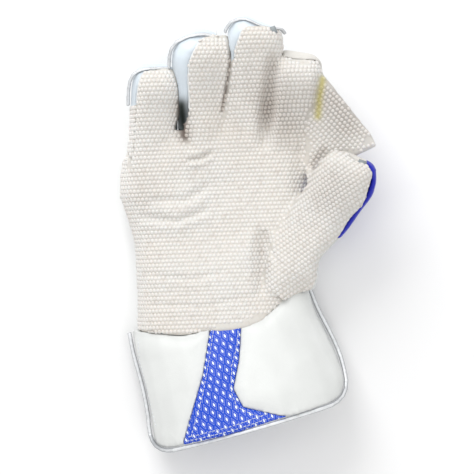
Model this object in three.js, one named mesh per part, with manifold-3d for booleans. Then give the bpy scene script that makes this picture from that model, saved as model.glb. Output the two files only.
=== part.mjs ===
// Wicketkeeping glove for a right hand, lying on its back with the palm up.
// Millimetres, +Z up, fingers towards +Y, thumb towards +X, origin under the middle on the floor.
// The hand, the fingers, the thumb and the cuff are lofted tubes. Their walls are what is left
// when the hollow for the hand is taken out, and each wall is parted along its side seams.
import * as THREE from "three";
import { mergeVertices } from "three/addons/utils/BufferGeometryUtils.js";
import Module from "manifold-3d";

const wasm = await Module();
wasm.setup();

// Driving sizes
const palmWidth = 132;
const handLength = 150;
const handDepth = 50;
const fingerLength = 92;
const fingerWidth = 38;
const fingerDepth = 33;
const thumbLength = 104;
const thumbWidth = 39;
const thumbDepth = 35;
const cuffLength = 92;
const cuffWidth = 144;
const cuffHeight = 60;
const cuffCornerRadius = 17;
const pressedFlat = 0.8;
const backPanelOverhang = 3;
const backEdge = 8;
const palmWall = 4;
const backWall = 6;
const fingerWall = 3.5;
const cuffWall = 5;
const webRubberWall = 2.4;
const webLeatherWall = 2.2;
const cuffPipingRadius = 1.7;
const fingerPipingRadius = 1.4;
const seamGap = 0.3;

// The hand, from the wrist to the knuckles. leftX and rightX are shares of palmWidth from the
// hand's middle line, leftY and rightY of handLength from the wrist, and top, dip and seam of
// handDepth: the height of the palm's rim, the depth of its pocket and the side seam's height.
const handSections = [
  { leftX: -0.458, leftY: -0.16, rightX: 0.440, rightY: -0.05, top: 0.90, dip: 0.03, seam: 0.30 },
  { leftX: -0.455, leftY: 0.133, rightX: 0.485, rightY: 0.22, top: 0.95, dip: 0.10, seam: 0.32 },
  { leftX: -0.470, leftY: 0.380, rightX: 0.515, rightY: 0.46, top: 1.00, dip: 0.26, seam: 0.36 },
  { leftX: -0.532, leftY: 0.600, rightX: 0.515, rightY: 0.70, top: 1.06, dip: 0.32, seam: 0.42 },
  { leftX: -0.522, leftY: 0.767, rightX: 0.515, rightY: 0.92, top: 1.04, dip: 0.20, seam: 0.44 },
  { leftX: -0.470, leftY: 0.865, rightX: 0.480, rightY: 1.04, top: 0.94, dip: 0.08, seam: 0.44 },
];

// The fingers. x and y place the root as shares of palmWidth and handLength, z of handDepth.
// length, width and tipWidth are shares of fingerLength and fingerWidth. heading turns the
// finger to the thumb side, rise and curl are its slope at the root and at the tip, roll turns
// its section, and facing turns the rubber, which covers the section down to the chord.
const fingers = [
  { name: "little", x: -0.364, y: 0.70, z: 0.46, length: 0.92, width: 1.00, tipWidth: 0.90,
    heading: 2, rise: 6, curl: 42, roll: 12, facing: 30, chord: 0.20 },
  { name: "ring", x: -0.086, y: 0.76, z: 0.48, length: 1.10, width: 1.08, tipWidth: 1.24,
    heading: 0, rise: 8, curl: 45, roll: 12, facing: 38, chord: 0.34 },
  { name: "middle", x: 0.112, y: 0.83, z: 0.52, length: 1.13, width: 1.06, tipWidth: 1.10,
    heading: 8, rise: 10, curl: 45, roll: 8, facing: 32, chord: 0.30 },
  { name: "index", x: 0.350, y: 0.86, z: 0.54, length: 0.78, width: 1.04, tipWidth: 1.04,
    heading: 10, rise: 14, curl: 50, roll: 0, facing: 4, chord: -0.10 },
];

// The thumb, in the same columns, with shares of the thumb's sizes.
const thumb = { name: "thumb", x: 0.326, y: 0.14, z: 0.54, length: 1.17, width: 1.14,
  tipWidth: 1.06, heading: 30, rise: 8, curl: 35, roll: -14, facing: -20, chord: -0.10 };

// How a finger's section closes at the tip: along the length, and the share of the section left.
const tipStations = [
  { along: 0.0, share: 1.0 },
  { along: 0.22, share: 1.0 },
  { along: 0.44, share: 1.0 },
  { along: 0.64, share: 1.0 },
  { along: 0.8, share: 1.0 },
  { along: 0.9, share: 0.93 },
  { along: 0.96, share: 0.76 },
  { along: 1.0, share: 0.44 },
];

// The cuff, from under the palm's hem to past the mouth. X is a share of cuffWidth from the
// hand's middle line, Y of cuffLength down from the wrist, top and seam of cuffHeight.
const cuffSections = [
  { leftX: -0.385, leftY: 0.02, rightX: 0.400, rightY: 0.22, top: 0.66, seam: 0.24 },
  { leftX: -0.434, leftY: -0.10, rightX: 0.450, rightY: 0.17, top: 0.70, seam: 0.24 },
  { leftX: -0.386, leftY: -0.34, rightX: 0.530, rightY: -0.06, top: 0.80, seam: 0.25 },
  { leftX: -0.364, leftY: -0.58, rightX: 0.590, rightY: -0.26, top: 0.90, seam: 0.26 },
  { leftX: -0.344, leftY: -0.80, rightX: 0.640, rightY: -0.43, top: 0.98, seam: 0.27 },
  { leftX: -0.318, leftY: -1.13, rightX: 0.690, rightY: -0.70, top: 1.06, seam: 0.28 },
];

// The mouth's left and right corner before rounding, as shares of cuffWidth and cuffLength.
const mouthCorners = { leftX: -0.335, leftY: -1.04, rightX: 0.650, rightY: -0.60 };

// The blue stripe on the cuff's front, in the same shares, clockwise from its top left corner.
const stripeOutline = [
  { x: -0.026, y: 0.10 },
  { x: 0.114, y: 0.10 },
  { x: 0.099, y: -0.30 },
  { x: 0.070, y: -0.53 },
  { x: 0.118, y: -0.67 },
  { x: 0.300, y: -0.735 },
  { x: 0.360, y: -0.74 },
  { x: 0.330, y: -1.10 },
  { x: -0.220, y: -1.20 },
  { x: -0.150, y: -0.80 },
  { x: -0.082, y: -0.44 },
];

// The palm's hem over the cuff, from left to right, as shares of palmWidth and handLength.
const hemLine = [
  { x: -0.60, y: -0.045 },
  { x: -0.330, y: -0.064 },
  { x: -0.205, y: -0.075 },
  { x: -0.047, y: -0.047 },
  { x: 0.124, y: -0.026 },
  { x: 0.233, y: 0.000 },
  { x: 0.310, y: 0.064 },
  { x: 0.360, y: 0.110 },
  { x: 0.700, y: 0.190 },
];

// The catching web between index and thumb: its inner line along the index and its outer edge,
// from the finger down to the thumb. x of palmWidth, y of handLength, z of handDepth.
const webRows = [
  { innerX: 0.470, innerY: 1.215, innerZ: 1.22, outerX: 0.560, outerY: 1.180, outerZ: 1.24 },
  { innerX: 0.480, innerY: 1.050, innerZ: 1.04, outerX: 0.700, outerY: 1.025, outerZ: 1.18 },
  { innerX: 0.490, innerY: 0.880, innerZ: 0.90, outerX: 0.815, outerY: 0.900, outerZ: 1.10 },
  { innerX: 0.490, innerY: 0.780, innerZ: 0.86, outerX: 0.842, outerY: 0.840, outerZ: 1.06 },
  { innerX: 0.490, innerY: 0.640, innerZ: 0.82, outerX: 0.700, outerY: 0.770, outerZ: 0.96 },
  { innerX: 0.480, innerY: 0.500, innerZ: 0.80, outerX: 0.620, outerY: 0.640, outerZ: 0.86 },
];

const ringPoints = 24;
const fingerRingPoints = 16;
const roundSides = 8;
const fingerFullness = 2.5;
const archFullness = 2.2;
const floorFullness = 4.5;
const handMiddleX = -20;
const wristY = -60;
const farAway = 260;
const halfGap = seamGap / 2;

const rad = THREE.MathUtils.degToRad;
const vec = (x, y, z) => new THREE.Vector3(x, y, z);

// A closed three.js geometry as an exact solid, and back.
function solid(geometry) {
  const bare = geometry.index ? geometry.toNonIndexed() : geometry.clone();
  bare.deleteAttribute("normal");
  bare.deleteAttribute("uv");
  const merged = mergeVertices(bare, 1e-4);
  const triVerts = new Uint32Array(merged.index.array);
  const vertProperties = merged.attributes.position.array;
  const made = new wasm.Manifold(new wasm.Mesh({ numProp: 3, vertProperties, triVerts }));
  if (made.volume() > 0) return made;
  for (let i = 0; i < triVerts.length; i += 3) {
    [triVerts[i + 1], triVerts[i + 2]] = [triVerts[i + 2], triVerts[i + 1]];
  }
  return new wasm.Manifold(new wasm.Mesh({ numProp: 3, vertProperties, triVerts }));
}

function geometryOf(body) {
  const mesh = body.getMesh();
  const position = new Float32Array(mesh.numVert * 3);
  for (let i = 0; i < mesh.numVert; i += 1) {
    const start = i * mesh.numProp;
    position.set(mesh.vertProperties.subarray(start, start + 3), i * 3);
  }
  const geometry = new THREE.BufferGeometry();
  geometry.setAttribute("position", new THREE.BufferAttribute(position, 3));
  geometry.setIndex(new THREE.BufferAttribute(new Uint32Array(mesh.triVerts), 1));
  const flat = geometry.toNonIndexed();
  flat.computeVertexNormals();
  return flat;
}

// The largest body of a cut: what the shears leave over beside it is waste.
function largest(body) {
  return body.decompose().reduce((a, b) => (b.volume() > a.volume() ? b : a));
}

const join = (bodies) => bodies.reduce((a, b) => a.add(b));
const cut = (body, tools) => tools.reduce((a, b) => a.subtract(b), body);

// A closed tube through rings of equal point counts, with a flat cap on each end.
function loft(rings) {
  const count = rings[0].length;
  const points = rings.flat();
  const caps = [rings[0], rings.at(-1)].map((ring) =>
    ring.reduce((sum, p) => sum.add(p), vec(0, 0, 0)).divideScalar(count));
  const faces = [];
  for (let row = 0; row + 1 < rings.length; row += 1) {
    for (let i = 0; i < count; i += 1) {
      const next = (i + 1) % count;
      const a = row * count + i;
      const b = row * count + next;
      faces.push(a, b, b + count, a, b + count, a + count);
    }
  }
  const last = (rings.length - 1) * count;
  for (let i = 0; i < count; i += 1) {
    const next = (i + 1) % count;
    faces.push(points.length, next, i);
    faces.push(points.length + 1, last + i, last + next);
  }
  const geometry = new THREE.BufferGeometry().setFromPoints([...points, ...caps]);
  geometry.setIndex(faces);
  return solid(geometry);
}

// A closed sheet between two grids of points of the same size.
function sheet(upper, lower) {
  const rows = upper.length;
  const columns = upper[0].length;
  const border = [];
  for (let j = 0; j < columns; j += 1) border.push([0, j]);
  for (let i = 1; i < rows; i += 1) border.push([i, columns - 1]);
  for (let j = columns - 2; j >= 0; j -= 1) border.push([rows - 1, j]);
  for (let i = rows - 2; i > 0; i -= 1) border.push([i, 0]);
  const at = (i, j, side) => side * rows * columns + i * columns + j;
  const faces = [];
  for (let i = 0; i + 1 < rows; i += 1) {
    for (let j = 0; j + 1 < columns; j += 1) {
      faces.push(at(i, j, 0), at(i + 1, j, 0), at(i + 1, j + 1, 0));
      faces.push(at(i, j, 0), at(i + 1, j + 1, 0), at(i, j + 1, 0));
      faces.push(at(i, j, 1), at(i + 1, j + 1, 1), at(i + 1, j, 1));
      faces.push(at(i, j, 1), at(i, j + 1, 1), at(i + 1, j + 1, 1));
    }
  }
  border.forEach(([i, j], k) => {
    const [m, n] = border[(k + 1) % border.length];
    faces.push(at(i, j, 0), at(m, n, 0), at(m, n, 1), at(i, j, 0), at(m, n, 1), at(i, j, 1));
  });
  const geometry = new THREE.BufferGeometry().setFromPoints([...upper.flat(), ...lower.flat()]);
  geometry.setIndex(faces);
  return solid(geometry);
}

const signedPower = (value, power) => Math.sign(value) * Math.abs(value) ** power;

// The table rows in millimetres.
function handRow(row) {
  return {
    left: vec(handMiddleX + row.leftX * palmWidth, wristY + row.leftY * handLength, 0),
    right: vec(handMiddleX + row.rightX * palmWidth, wristY + row.rightY * handLength, 0),
    top: row.top * handDepth, dip: row.dip * handDepth, seam: row.seam * handDepth,
  };
}

function cuffRow(row) {
  return {
    left: vec(handMiddleX + row.leftX * cuffWidth, wristY + row.leftY * cuffLength, 0),
    right: vec(handMiddleX + row.rightX * cuffWidth, wristY + row.rightY * cuffLength, 0),
    top: row.top * cuffHeight, dip: 0, seam: row.seam * cuffHeight,
  };
}

const handRows = handSections.map(handRow);
const cuffRows = cuffSections.map(cuffRow);

// A smooth row between the table's rows, at a share of the way through them.
function rowBetween(rows, share) {
  const place = Math.min(Math.max(share, 0), 1) * (rows.length - 1);
  const index = Math.min(Math.floor(place), rows.length - 2);
  const [a, b] = [rows[index], rows[index + 1]];
  const mix = place - index;
  const blend = (key) => a[key] + (b[key] - a[key]) * mix;
  return {
    left: a.left.clone().lerp(b.left, mix), right: a.right.clone().lerp(b.right, mix),
    top: blend("top"), dip: blend("dip"), seam: blend("seam"),
  };
}

// The upper surface of a row above its side seam, at across from -1, left, to 1, right.
function rowTop(row, across, inset = 0) {
  const arch = (1 - Math.abs(across) ** archFullness) ** (1 / archFullness);
  const hollow = row.dip * (1 - across ** 2) ** 2;
  return row.seam + (row.top - inset - row.seam) * arch - hollow;
}

// One ring of the hand or cuff: arched above the side seam, flat below it. sideInset, topInset
// and floorInset move its wall inwards.
function bodyRing(row, sideInset, topInset, floorInset) {
  const middle = row.left.clone().add(row.right).divideScalar(2);
  const half = row.right.clone().sub(row.left).divideScalar(2);
  const reach = (half.length() - sideInset) / half.length();
  return Array.from({ length: ringPoints }, (_, i) => {
    const angle = (2 * Math.PI * i) / ringPoints;
    const above = Math.sin(angle) >= -1e-9;
    const fullness = above ? archFullness : floorFullness;
    const across = signedPower(Math.cos(angle), 2 / fullness);
    const below = (row.seam + pressedFlat - floorInset) * Math.abs(Math.sin(angle)) ** (2 / fullness);
    const z = above ? rowTop(row, across, topInset) : row.seam - below;
    return middle.clone().addScaledVector(half, across * reach).setZ(z);
  });
}

// A tube through rows, whose ends move inwards along the hand by endInset.
function tube(rows, sideInset, topInset, floorInset, endInset = 0) {
  const rings = rows.map((row) => bodyRing(row, sideInset, topInset, floorInset));
  const fingerward = Math.sign(rings.at(-1)[0].y - rings[0][0].y);
  rings[0].forEach((p) => p.setY(p.y + fingerward * endInset));
  rings.at(-1).forEach((p) => p.setY(p.y - fingerward * endInset));
  return loft(rings);
}

// Everything above the side seams of a tube, lifted by raise, and past both its ends.
function aboveSeam(rows, raise) {
  const margin = 1.6;
  const beyond = 6;
  const rings = rows.map((row) => {
    const middle = row.left.clone().add(row.right).divideScalar(2);
    const half = row.right.clone().sub(row.left).divideScalar(2).multiplyScalar(margin);
    const [left, right] = [middle.clone().sub(half), middle.clone().add(half)];
    const low = row.seam + raise;
    return [left.clone().setZ(low), right.clone().setZ(low),
      right.clone().setZ(farAway), left.clone().setZ(farAway)];
  });
  const fingerward = Math.sign(rings.at(-1)[0].y - rings[0][0].y) * beyond;
  rings[0].forEach((p) => p.setY(p.y - fingerward));
  rings.at(-1).forEach((p) => p.setY(p.y + fingerward));
  return loft(rings);
}

// A flat outline in plan, as a tall block.
function planBlock(points) {
  const apart = points.filter((p, i) => {
    const next = points[(i + 1) % points.length];
    return Math.hypot(p.x - next.x, p.y - next.y) > 0.01;
  });
  const shape = new THREE.Shape(apart.map((p) => new THREE.Vector2(p.x, p.y)));
  const block = new THREE.ExtrudeGeometry(shape, { depth: 2 * farAway, bevelEnabled: false });
  return solid(block.translate(0, 0, -farAway));
}

// A finger's axis: a circular arc that starts at rise and ends at curl, with its section's size.
function fingerStations(finger, sizes) {
  const steps = 60;
  const heading = rad(finger.heading);
  const length = finger.length * sizes.length;
  const points = [];
  const place = vec(handMiddleX + finger.x * palmWidth, wristY + finger.y * handLength,
    finger.z * handDepth);
  for (let i = 0; i <= steps; i += 1) {
    const slope = rad(finger.rise + ((finger.curl - finger.rise) * i) / steps);
    const ahead = vec(Math.sin(heading) * Math.cos(slope),
      Math.cos(heading) * Math.cos(slope), Math.sin(slope));
    points.push({ place: place.clone(), ahead });
    place.addScaledVector(ahead, length / steps);
  }
  return tipStations.map(({ along, share }) => {
    const { place: middle, ahead } = points[Math.round(along * steps)];
    const level = vec(0, 0, 1).cross(ahead).normalize().negate();
    const width = finger.width + (finger.tipWidth - finger.width) * along;
    return { middle, ahead, level, face: level.clone().cross(ahead).normalize(), share,
      halfWidth: (width * sizes.width) / 2, halfDepth: sizes.depth / 2 };
  });
}

// A finger's ring at a station, grown or shrunk by grow.
function fingerRing(station, roll, grow) {
  const wide = station.halfWidth * station.share + grow;
  const deep = station.halfDepth * station.share + grow;
  const side = station.level.clone().applyAxisAngle(station.ahead, rad(roll));
  const face = station.face.clone().applyAxisAngle(station.ahead, rad(roll));
  return Array.from({ length: fingerRingPoints }, (_, i) => {
    const angle = (2 * Math.PI * i) / fingerRingPoints;
    const across = wide * signedPower(Math.cos(angle), 2 / fingerFullness);
    const up = deep * signedPower(Math.sin(angle), 2 / fingerFullness);
    return station.middle.clone().addScaledVector(side, across).addScaledVector(face, up);
  });
}

function fingerTube(finger, sizes, grow) {
  const stations = fingerStations(finger, sizes);
  const rings = stations.map((s) => fingerRing(s, finger.roll, grow));
  rings[0].forEach((p) => p.addScaledVector(stations[0].ahead, -grow));
  rings.at(-1).forEach((p) => p.addScaledVector(stations.at(-1).ahead, grow));
  return loft(rings);
}

// The hollow for the finger itself, which starts inside the hand and stops short of the tip.
function fingerHollow(finger, sizes, wall) {
  const stations = fingerStations(finger, sizes);
  const kept = stations.slice(0, -1);
  return loft(kept.map((s) => fingerRing(s, finger.roll, -wall)));
}

// The side of a finger that the rubber covers, down to the chord lifted by raise.
function fingerFront(finger, sizes, raise) {
  const margin = 1.12;
  const stations = fingerStations(finger, sizes);
  const rings = stations.map((s) => {
    const side = s.level.clone().applyAxisAngle(s.ahead, rad(finger.facing));
    const face = s.face.clone().applyAxisAngle(s.ahead, rad(finger.facing));
    const low = finger.chord * s.halfDepth + raise;
    const high = s.halfDepth * 2;
    const wide = s.halfWidth * margin;
    return [[-wide, low], [wide, low], [wide, high], [-wide, high]].map(([across, up]) =>
      s.middle.clone().addScaledVector(side, across).addScaledVector(face, up));
  });
  const beyond = rings.at(-1).map((p) => p.clone().addScaledVector(stations.at(-1).ahead, 9));
  return loft([...rings, beyond]);
}

const digitSizes = { length: fingerLength, width: fingerWidth, depth: fingerDepth };
const thumbSizes = { length: thumbLength, width: thumbWidth, depth: thumbDepth };

// A round cord of piping along a path.
function piping(points, radius) {
  const path = new THREE.CatmullRomCurve3(points, false, "centripetal");
  const shape = new THREE.Shape();
  for (let i = 0; i < roundSides; i += 1) {
    const angle = (2 * Math.PI * i) / roundSides;
    const [x, y] = [radius * Math.cos(angle), radius * Math.sin(angle)];
    if (i) shape.lineTo(x, y);
    else shape.moveTo(x, y);
  }
  const steps = Math.round(path.getLength() / 7);
  return solid(new THREE.ExtrudeGeometry(shape, { steps, extrudePath: path, bevelEnabled: false }));
}

// The hand's outside, its hollow, and what of them the rubber covers.
const handOuter = tube(handRows, 0, 0, 0);
const handGrown = tube(handRows, -seamGap, -seamGap, -seamGap, -seamGap);
const knuckleEnd = 0.965;
const innerRows = [...handRows.slice(0, -1), rowBetween(handRows, knuckleEnd)];
const handInner = tube(innerRows, palmWall, palmWall, backWall);

const fingerOuters = fingers.map((f) => fingerTube(f, digitSizes, 0));
const fingerGrown = fingers.map((f) => fingerTube(f, digitSizes, seamGap));
const fingerHollows = fingers.map((f) => fingerHollow(f, digitSizes, fingerWall));
const thumbOuter = fingerTube(thumb, thumbSizes, 0);
const thumbGrown = fingerTube(thumb, thumbSizes, seamGap);
const thumbHollow = fingerHollow(thumb, thumbSizes, fingerWall);

// The channel from the mouth to the hand, through the cuff.
const cuffOuter = tube(cuffRows, 0, 0, 0);
const cuffInner = tube(cuffRows, cuffWall, cuffWall, cuffWall);
const hollow = join([handInner, thumbHollow, cuffInner, ...fingerHollows]);

// The floor under the glove: the leather lies flat on it.
const belowFloor = planBlock([vec(-farAway, -farAway), vec(farAway, -farAway),
  vec(farAway, farAway), vec(-farAway, farAway)]).translate([0, 0, -farAway]);

// Everything on the finger side of the hem, moved down the cuff by shift.
function handSide(shift) {
  const line = hemLine.map((p) =>
    vec(handMiddleX + p.x * palmWidth, wristY + p.y * handLength - shift));
  return planBlock([...line, vec(farAway, farAway), vec(-farAway, farAway)]);
}

const frontOf = (hand, tubes, raise) => join([
  hand.intersect(aboveSeam(handRows, raise)),
  ...fingers.map((f, i) => tubes[i].intersect(fingerFront(f, digitSizes, raise))),
]);

const palmFacing = largest(cut(frontOf(handOuter, fingerOuters, halfGap)
  .intersect(handSide(0)), [hollow, thumbGrown]));

// The same rubber a gap larger all round, which trims what is sewn to it.
const palmTrim = frontOf(handGrown, fingerGrown, -halfGap);

// The thumb: rubber in front, coloured leather behind.
const thumbFront = (raise) => fingerFront(thumb, thumbSizes, raise);
const thumbShell = cut(thumbOuter.intersect(handSide(0)), [hollow, belowFloor]);
const thumbFacing = largest(thumbShell.intersect(thumbFront(halfGap)));
const thumbBack = largest(cut(thumbShell, [thumbFront(-halfGap), handGrown, fingerGrown[3]]));

// The backs of the fingers, each trimmed by the hand and by the finger before it.
const fingerBacks = fingers.map((finger, i) => largest(cut(fingerOuters[i], [
  hollow, palmTrim, handGrown, belowFloor, ...fingerGrown.slice(0, i)])));

// The back of the hand, which ends where the cuff's back begins.
const handBack = largest(cut(handOuter.intersect(handSide(backEdge)), [
  aboveSeam(handRows, -halfGap), hollow, palmTrim, thumbGrown, belowFloor]));

// The cuff's plan outline: its side seams, grown a little, and a mouth with round corners.
function cuffPlan(overhang) {
  const spread = 12;
  const corner = (x, y) => new THREE.Vector2(handMiddleX + x * cuffWidth, wristY + y * cuffLength);
  const down = new THREE.Vector2(0, -overhang);
  const left = corner(mouthCorners.leftX, mouthCorners.leftY).add(down);
  const right = corner(mouthCorners.rightX, mouthCorners.rightY).add(down);
  const sides = (key, sign, end) => cuffRows
    .map((row) => new THREE.Vector2(row[key].x + sign, row[key].y))
    .filter((p) => p.y > end.y && p.distanceTo(end) > cuffCornerRadius * 1.1);
  const towards = (from, to, distance) =>
    from.clone().add(to.clone().sub(from).setLength(distance));
  const leftSide = sides("left", -seamGap, left);
  const rightSide = sides("right", seamGap, right);
  const shape = new THREE.Shape();
  shape.moveTo(leftSide[0].x - spread, leftSide[0].y + spread * 4);
  leftSide.slice(1).forEach((p) => shape.lineTo(p.x, p.y));
  const leftStart = towards(left, leftSide.at(-1), cuffCornerRadius);
  const leftEnd = towards(left, right, cuffCornerRadius);
  shape.lineTo(leftStart.x, leftStart.y);
  shape.quadraticCurveTo(left.x, left.y, leftEnd.x, leftEnd.y);
  const rightStart = towards(right, left, cuffCornerRadius);
  const rightEnd = towards(right, rightSide.at(-1), cuffCornerRadius);
  shape.lineTo(rightStart.x, rightStart.y);
  shape.quadraticCurveTo(right.x, right.y, rightEnd.x, rightEnd.y);
  rightSide.slice(1).reverse().forEach((p) => shape.lineTo(p.x, p.y));
  shape.lineTo(rightSide[0].x + spread, rightSide[0].y + spread * 4);
  return shape.extractPoints(6).shape;
}

const cuffShell = cut(cuffOuter, [hollow, belowFloor]);
const frontPlan = cuffPlan(0);
const backPlan = cuffPlan(backPanelOverhang);
const backTrim = cut(handGrown.intersect(handSide(backEdge + seamGap)), [
  aboveSeam(handRows, halfGap)]);
const cuffFront = cut(cuffShell.intersect(planBlock(frontPlan))
  .intersect(aboveSeam(cuffRows, halfGap)), [
  join([palmTrim, thumbGrown]).intersect(handSide(seamGap)), backTrim]);
const cuffBack = largest(cut(cuffShell.intersect(planBlock(backPlan)), [
  aboveSeam(cuffRows, -halfGap), handSide(backEdge + seamGap)]));

// The stripe and the plain panels on both sides of it.
function stripeBlock(grow) {
  const points = stripeOutline.map((p) =>
    new THREE.Vector2(handMiddleX + p.x * cuffWidth, wristY + p.y * cuffLength));
  const outward = (along) => new THREE.Vector2(-along.y, along.x);
  const outline = points.map((p, i) => {
    const before = points[(i + points.length - 1) % points.length];
    const after = points[(i + 1) % points.length];
    const normals = [p.clone().sub(before), after.clone().sub(p)].map((e) => outward(e).normalize());
    const mitre = normals[0].clone().add(normals[1]).normalize();
    return p.clone().addScaledVector(mitre, grow / mitre.dot(normals[0]));
  });
  return planBlock(outline);
}

const cuffStripe = largest(cuffFront.intersect(stripeBlock(0)));
const plainPanels = cut(cuffFront, [stripeBlock(seamGap)]).decompose()
  .sort((a, b) => b.volume() - a.volume()).slice(0, 2)
  .sort((a, b) => a.boundingBox().min[0] - b.boundingBox().min[0]);

// The height of the cuff's upper face over a point in plan.
function cuffTopAt(x, y) {
  const offset = (share) => {
    const row = rowBetween(cuffRows, share);
    const half = row.right.clone().sub(row.left).divideScalar(2);
    const arm = vec(x, y, 0).sub(row.left.clone().add(row.right).divideScalar(2));
    return { row, side: half.x * arm.y - half.y * arm.x, across: arm.dot(half) / half.lengthSq() };
  };
  let [low, high] = [0, 1];
  for (let i = 0; i < 30; i += 1) {
    const share = (low + high) / 2;
    if (offset(share).side < 0) low = share;
    else high = share;
  }
  const { row, across } = offset((low + high) / 2);
  return { height: rowTop(row, Math.max(-0.999, Math.min(0.999, across))), row, across };
}

// Piping round the cuff's front: down the left seam, along the mouth and up the right seam.
function cuffPiping() {
  const clear = cuffPipingRadius + seamGap;
  const outline = frontPlan.slice(1, -1);
  const points = outline.map((p, i) => {
    const before = outline[Math.max(i - 1, 0)];
    const after = outline[Math.min(i + 1, outline.length - 1)];
    const along = after.clone().sub(before).normalize();
    const { height, row } = cuffTopAt(p.x, p.y);
    const outward = new THREE.Vector2(along.y, -along.x);
    return vec(p.x, p.y, Math.max(height - cuffWall / 2, row.seam))
      .add(vec(-outward.x * -clear, -outward.y * -clear, 0));
  });
  return points;
}

const pipingPath = cuffPiping();
const cuffPipingSolid = piping(pipingPath, cuffPipingRadius);

// Piping round a finger's back: along its outer side and over the tip.
function fingerPiping(finger, grow) {
  const stations = fingerStations(finger, digitSizes);
  const clear = fingerPipingRadius + 2 * seamGap;
  const edge = (s, sign) => {
    const side = s.level.clone().applyAxisAngle(s.ahead, rad(finger.roll));
    return s.middle.clone().addScaledVector(side, sign * (s.halfWidth * s.share + clear));
  };
  const tip = stations.at(-1);
  const end = tip.middle.clone().addScaledVector(tip.ahead, clear);
  const left = stations.slice(3).map((s) => edge(s, -1));
  const right = stations.slice(-3).map((s) => edge(s, 1)).reverse();
  return piping([...left, end, ...right], fingerPipingRadius + grow);
}

// The web: rubber above, leather below, and its edge stiffened by a fold.
function webGrid(drop) {
  const across = 4;
  return webRows.map((row) => Array.from({ length: across + 1 }, (_, j) => {
    const share = j / across;
    const mix = (a, b) => a + (b - a) * share;
    return vec(handMiddleX + mix(row.innerX, row.outerX) * palmWidth,
      wristY + mix(row.innerY, row.outerY) * handLength,
      mix(row.innerZ, row.outerZ) * handDepth - drop);
  }));
}

const webTools = [palmTrim, handGrown, ...fingerGrown, thumbGrown, hollow];
const webFacing = largest(cut(sheet(webGrid(0), webGrid(webRubberWall)), webTools));
const webLeatherTop = webRubberWall + seamGap;
const webBack = largest(cut(
  sheet(webGrid(webLeatherTop), webGrid(webLeatherTop + webLeatherWall)), webTools));

// Materials
const rubber = { color: 0xe6dfd6, roughness: 0.62, metalness: 0 };
const whiteLeather = { color: 0xe9ecec, roughness: 0.42, metalness: 0 };
const sideLeather = { color: 0xdde6ee, roughness: 0.4, metalness: 0 };
const blueLeather = { color: 0x1f37b4, roughness: 0.45, metalness: 0 };
const bluePrint = { color: 0x2b4fd0, roughness: 0.5, metalness: 0 };
const silverPiping = { color: 0xd5d6d8, roughness: 0.3, metalness: 0.25 };

const glove = new THREE.Group();

function piece(name, body, finish) {
  const mesh = new THREE.Mesh(geometryOf(body), new THREE.MeshStandardMaterial(finish));
  mesh.name = name;
  glove.add(mesh);
}

piece("palm_facing", palmFacing, rubber);
piece("thumb_facing", thumbFacing, rubber);
piece("web_facing", webFacing, rubber);
piece("web_back", webBack, whiteLeather);
piece("hand_back", handBack, whiteLeather);
piece("thumb_back", thumbBack, blueLeather);
fingers.forEach((finger, i) => {
  piece(`${finger.name}_back`, fingerBacks[i], sideLeather);
});
fingers.slice(0, 3).forEach((finger, i) => {
  const others = [...fingerGrown, ...fingers.slice(0, i).map((f) => fingerPiping(f, seamGap))];
  piece(`${finger.name}_piping`, largest(cut(fingerPiping(finger, 0), others)), silverPiping);
});
piece("cuff_left_panel", plainPanels[0], whiteLeather);
piece("cuff_right_panel", plainPanels[1], whiteLeather);
piece("cuff_stripe", cuffStripe, bluePrint);
piece("cuff_back", cuffBack, whiteLeather);
piece("cuff_piping", cuffPipingSolid, silverPiping);

// The origin lies on the floor under the middle of the glove.
const box = new THREE.Box3().setFromObject(glove);
const centre = box.getCenter(vec(0, 0, 0));
glove.position.set(-centre.x, -centre.y, -box.min.z);

export default glove;
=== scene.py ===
import math

import bmesh
import bpy
import numpy as np
from mathutils import Matrix, Vector, noise
from mathutils.bvhtree import BVHTree


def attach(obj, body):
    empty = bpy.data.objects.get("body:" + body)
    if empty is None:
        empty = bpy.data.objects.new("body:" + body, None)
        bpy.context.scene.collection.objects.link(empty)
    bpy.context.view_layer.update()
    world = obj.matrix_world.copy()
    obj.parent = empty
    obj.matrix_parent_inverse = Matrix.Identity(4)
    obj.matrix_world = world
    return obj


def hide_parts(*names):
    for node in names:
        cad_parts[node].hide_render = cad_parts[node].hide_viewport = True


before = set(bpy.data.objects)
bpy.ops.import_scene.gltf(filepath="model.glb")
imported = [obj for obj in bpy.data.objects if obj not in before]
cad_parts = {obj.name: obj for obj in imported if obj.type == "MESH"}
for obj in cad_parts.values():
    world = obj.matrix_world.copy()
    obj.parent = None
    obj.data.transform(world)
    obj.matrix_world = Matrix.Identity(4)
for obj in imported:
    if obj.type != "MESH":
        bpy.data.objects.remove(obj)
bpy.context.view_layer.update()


# Palm rubber
# One moulded sheet of natural rubber, pimpled on its face and glued over the palm and the fronts
# of the four fingers. It is soft, so it dips between the fingers and creases where the hand bends.
MM = 0.001
# The sheet is a little darker than the domes: painted shade between them.
RUBBER_SHEET = "#D5D2CC"
RUBBER_PIMPLE = "#E2E0DD"
# Dust specks in the rubber, and the domes' soil with painted shade.
RUBBER_DUST_AND_SHADE = "#BDB4AB"
# The sheet's soil, and its painted shade in the finger slits, valleys and creases.
RUBBER_SOIL_AND_SHADE = "#6E625B"
RUBBER_STAIN = "#B9AE4C"


def linear(code):
    channels = [int(code[i:i + 2], 16) / 255 for i in (1, 3, 5)]
    return [c / 12.92 if c <= 0.04045 else ((c + 0.055) / 1.055) ** 2.4 for c in channels] + [1.0]


def add_node(tree, kind, settings=None, links=None):
    """A shader node with its properties and input values set and its inputs linked."""
    node = tree.nodes.new(kind)
    for key, value in (settings or {}).items():
        if isinstance(key, int) or key in node.inputs:
            node.inputs[key].default_value = value
        else:
            setattr(node, key, value)
    for key, source in (links or {}).items():
        tree.links.new(source, node.inputs[key])
    return node


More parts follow.
